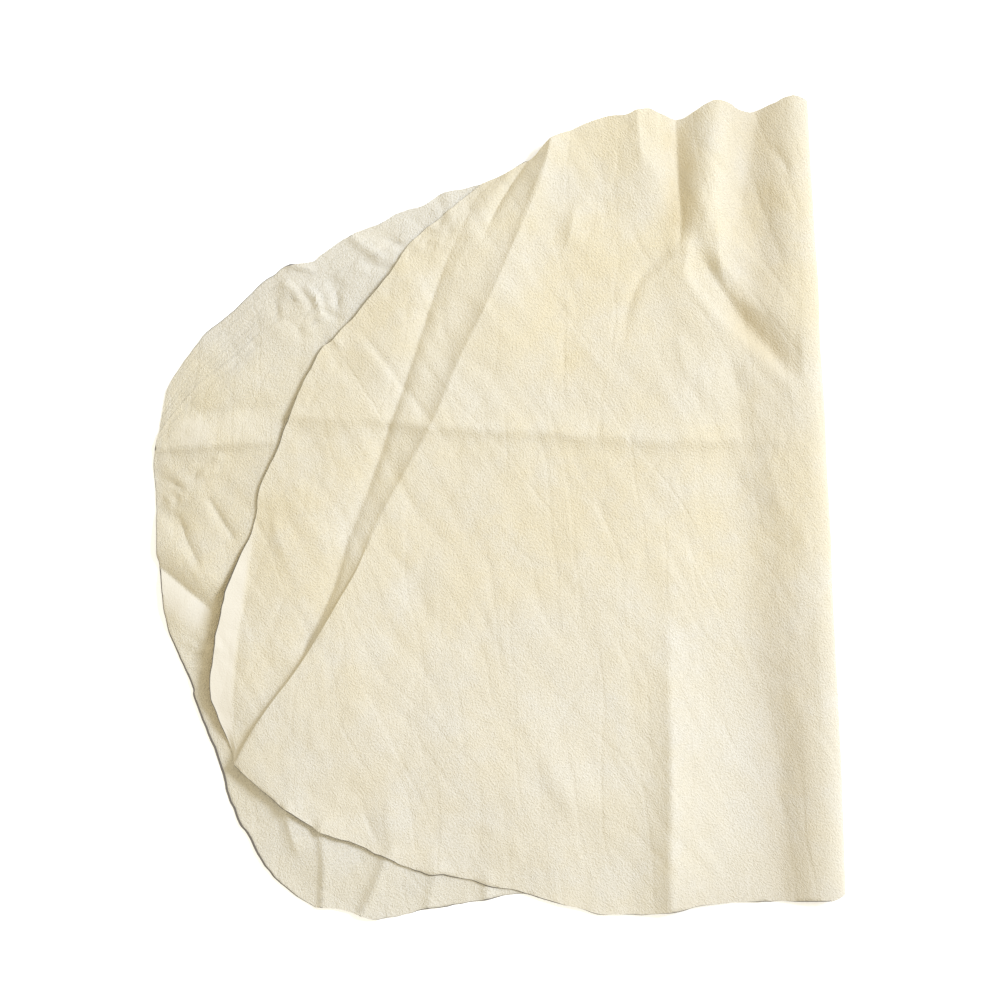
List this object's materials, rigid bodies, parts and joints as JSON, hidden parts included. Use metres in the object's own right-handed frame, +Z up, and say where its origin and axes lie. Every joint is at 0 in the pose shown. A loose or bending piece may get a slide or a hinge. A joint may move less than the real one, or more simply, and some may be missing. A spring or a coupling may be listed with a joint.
{
  "type": "chamois drying towel",
  "caption": "Natural chamois leather drying towel folded once, its shorter leaf draped over the longer one and opening about the soft fold.",
  "frame": {"origin": "on the surface that the skin lies on, under the middle of the folded skin's box", "axes": "+Y along the fold, +X out of the fold, +Z up from the surface"},
  "size_m": [0.4154, 0.499, 0.0143],
  "materials": {
    "inner_suede": "matte suede",
    "outer_suede": "matte suede"
  },
  "bodies": {
    "lower": {"lower_leaf": "inner_suede", "fold_roll": "outer_suede"},
    "upper": {"upper_leaf": "outer_suede"}
  },
  "joints": [
    {"name": "main_fold", "type": "hinge", "parent": "lower", "child": "upper", "pos_m": [0.20766, 0, 0.0045], "axis": [0, 1, 0], "range_deg": [0, 180]}
  ]
}
